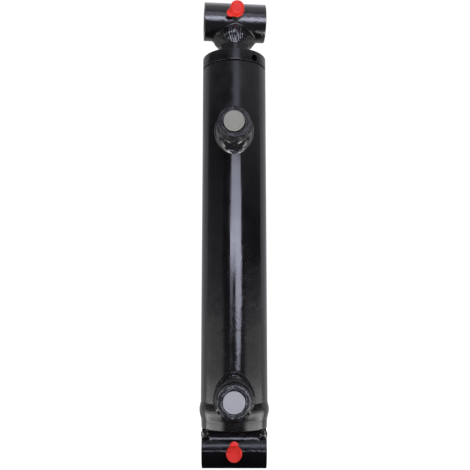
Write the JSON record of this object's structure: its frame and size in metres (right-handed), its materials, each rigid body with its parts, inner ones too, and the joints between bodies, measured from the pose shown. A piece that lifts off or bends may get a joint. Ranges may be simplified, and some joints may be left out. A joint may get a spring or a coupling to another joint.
{
  "type": "hydraulic cylinder",
  "caption": "Welded double-acting hydraulic cylinder, retracted: tube barrel, screwed gland, chromed rod, a pin cross tube at each end, plugged side port bosses, capped grease fittings.",
  "frame": {"origin": "centre of the base cross tube's pin bore", "axes": "+Z along the piston rod towards the rod end; +X along the base pin; both ports and the base grease fitting face -Y"},
  "size_m": [0.0668, 0.0918, 0.4606],
  "materials": {
    "black_paint": "gloss",
    "chromed_rod": "polished",
    "machined_steel": "machined",
    "zinc_plated_steel": "plated",
    "ball_steel": "polished",
    "ductile_iron": "turned",
    "nitrile_rubber": "matte",
    "seal_urethane": "satin",
    "guide_band_nylon": "matte",
    "white_seal_plastic": "matte",
    "grey_plug_plastic": "matte",
    "red_cap_plastic": "satin"
  },
  "bodies": {
    "barrel": {"barrel_tube": "black_paint", "base_cap": "black_paint", "girth_weld": "black_paint", "base_cross_tube": "black_paint", "base_tube_weld_front": "black_paint", "base_tube_weld_back": "black_paint", "base_port_boss": "black_paint", "base_port_weld": "black_paint", "rod_port_boss": "black_paint", "rod_port_weld": "black_paint", "gland": "black_paint", "rod_wiper": "seal_urethane", "rod_seal": "seal_urethane", "rod_guide_band": "guide_band_nylon", "gland_o_ring": "nitrile_rubber", "gland_backup_ring": "white_seal_plastic", "base_grease_fitting_body": "zinc_plated_steel", "base_grease_fitting_spring": "machined_steel"},
    "piston_seals": {"piston_seal": "white_seal_plastic", "piston_seal_o_ring": "nitrile_rubber", "piston_guide_band_lower": "guide_band_nylon", "piston_guide_band_upper": "guide_band_nylon"},
    "rod": {"piston_rod": "chromed_rod", "piston": "ductile_iron", "piston_lock_nut": "machined_steel", "piston_o_ring": "nitrile_rubber", "rod_tube_weld": "black_paint", "rod_cross_tube": "black_paint", "rod_grease_fitting_body": "zinc_plated_steel", "rod_grease_fitting_spring": "machined_steel"},
    "rod_port_plug": {"rod_port_plug": "grey_plug_plastic"},
    "base_port_plug": {"base_port_plug": "grey_plug_plastic"},
    "base_grease_cap": {"base_grease_cap": "red_cap_plastic"},
    "rod_grease_cap": {"rod_grease_cap": "red_cap_plastic"},
    "base_fitting_ball": {"base_grease_fitting_ball": "ball_steel"},
    "rod_fitting_ball": {"rod_grease_fitting_ball": "ball_steel"}
  },
  "joints": [
    {"name": "rod_slide", "type": "slide", "parent": "barrel", "child": "piston_seals", "axis": [0, 0, 1], "range_m": [0, 0.2032]},
    {"name": "rod_spin", "type": "hinge", "parent": "piston_seals", "child": "rod", "pos_m": [0, 0, 0.0727], "axis": [0, 0, 1], "continuous": true},
    {"name": "rod_port_plug_pull", "type": "slide", "parent": "barrel", "child": "rod_port_plug", "axis": [0, -1, 0], "range_m": [0, 0.03]},
    {"name": "base_port_plug_pull", "type": "slide", "parent": "barrel", "child": "base_port_plug", "axis": [0, -1, 0], "range_m": [0, 0.03]},
    {"name": "base_grease_cap_pull", "type": "slide", "parent": "barrel", "child": "base_grease_cap", "axis": [0, -1, 0], "range_m": [0, 0.02]},
    {"name": "rod_grease_cap_pull", "type": "slide", "parent": "rod", "child": "rod_grease_cap", "axis": [0.0906, -0.9959, 0], "range_m": [0, 0.02]},
    {"name": "base_fitting_check", "type": "slide", "parent": "barrel", "child": "base_fitting_ball", "axis": [0, 1, 0], "range_m": [0, 0.0008], "stiffness_N_per_m": 200, "springref_m": -0.0005, "deforming": ["base_grease_fitting_spring"]},
    {"name": "rod_fitting_check", "type": "slide", "parent": "rod", "child": "rod_fitting_ball", "axis": [-0.0906, 0.9959, 0], "range_m": [0, 0.0008], "stiffness_N_per_m": 200, "springref_m": -0.0005, "deforming": ["rod_grease_fitting_spring"]}
  ]
}
